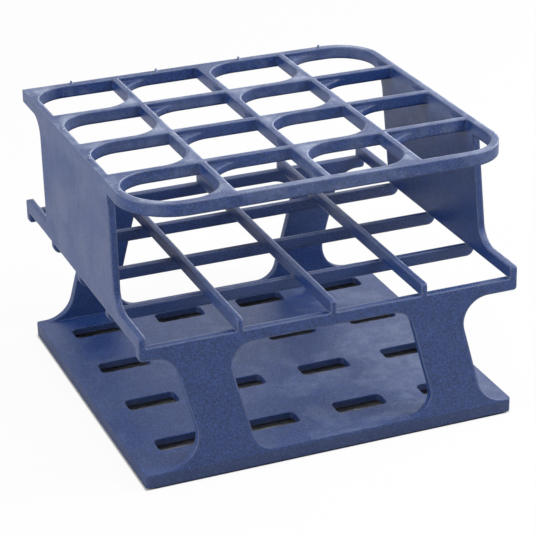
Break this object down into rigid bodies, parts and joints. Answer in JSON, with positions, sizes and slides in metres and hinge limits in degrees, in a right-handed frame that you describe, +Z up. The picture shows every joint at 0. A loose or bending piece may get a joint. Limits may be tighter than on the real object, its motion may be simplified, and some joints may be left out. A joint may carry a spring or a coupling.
{
  "type": "test tube half rack",
  "caption": "One-piece moulded rack that holds test tubes upright: an open top grid and a crossed middle deck over a slotted base.",
  "frame": {"origin": "centre of the footprint, on the bench", "axes": "+Z up through the tiers, -Y the front with the leaning leg frame seen first, +X to the right"},
  "size_m": [0.121, 0.1138, 0.0891],
  "materials": {
    "moulded_plastic": "matte, as moulded, cloudy with flow marks"
  },
  "bodies": {
    "root": {"rack": "moulded_plastic"}
  },
  "joints": []
}
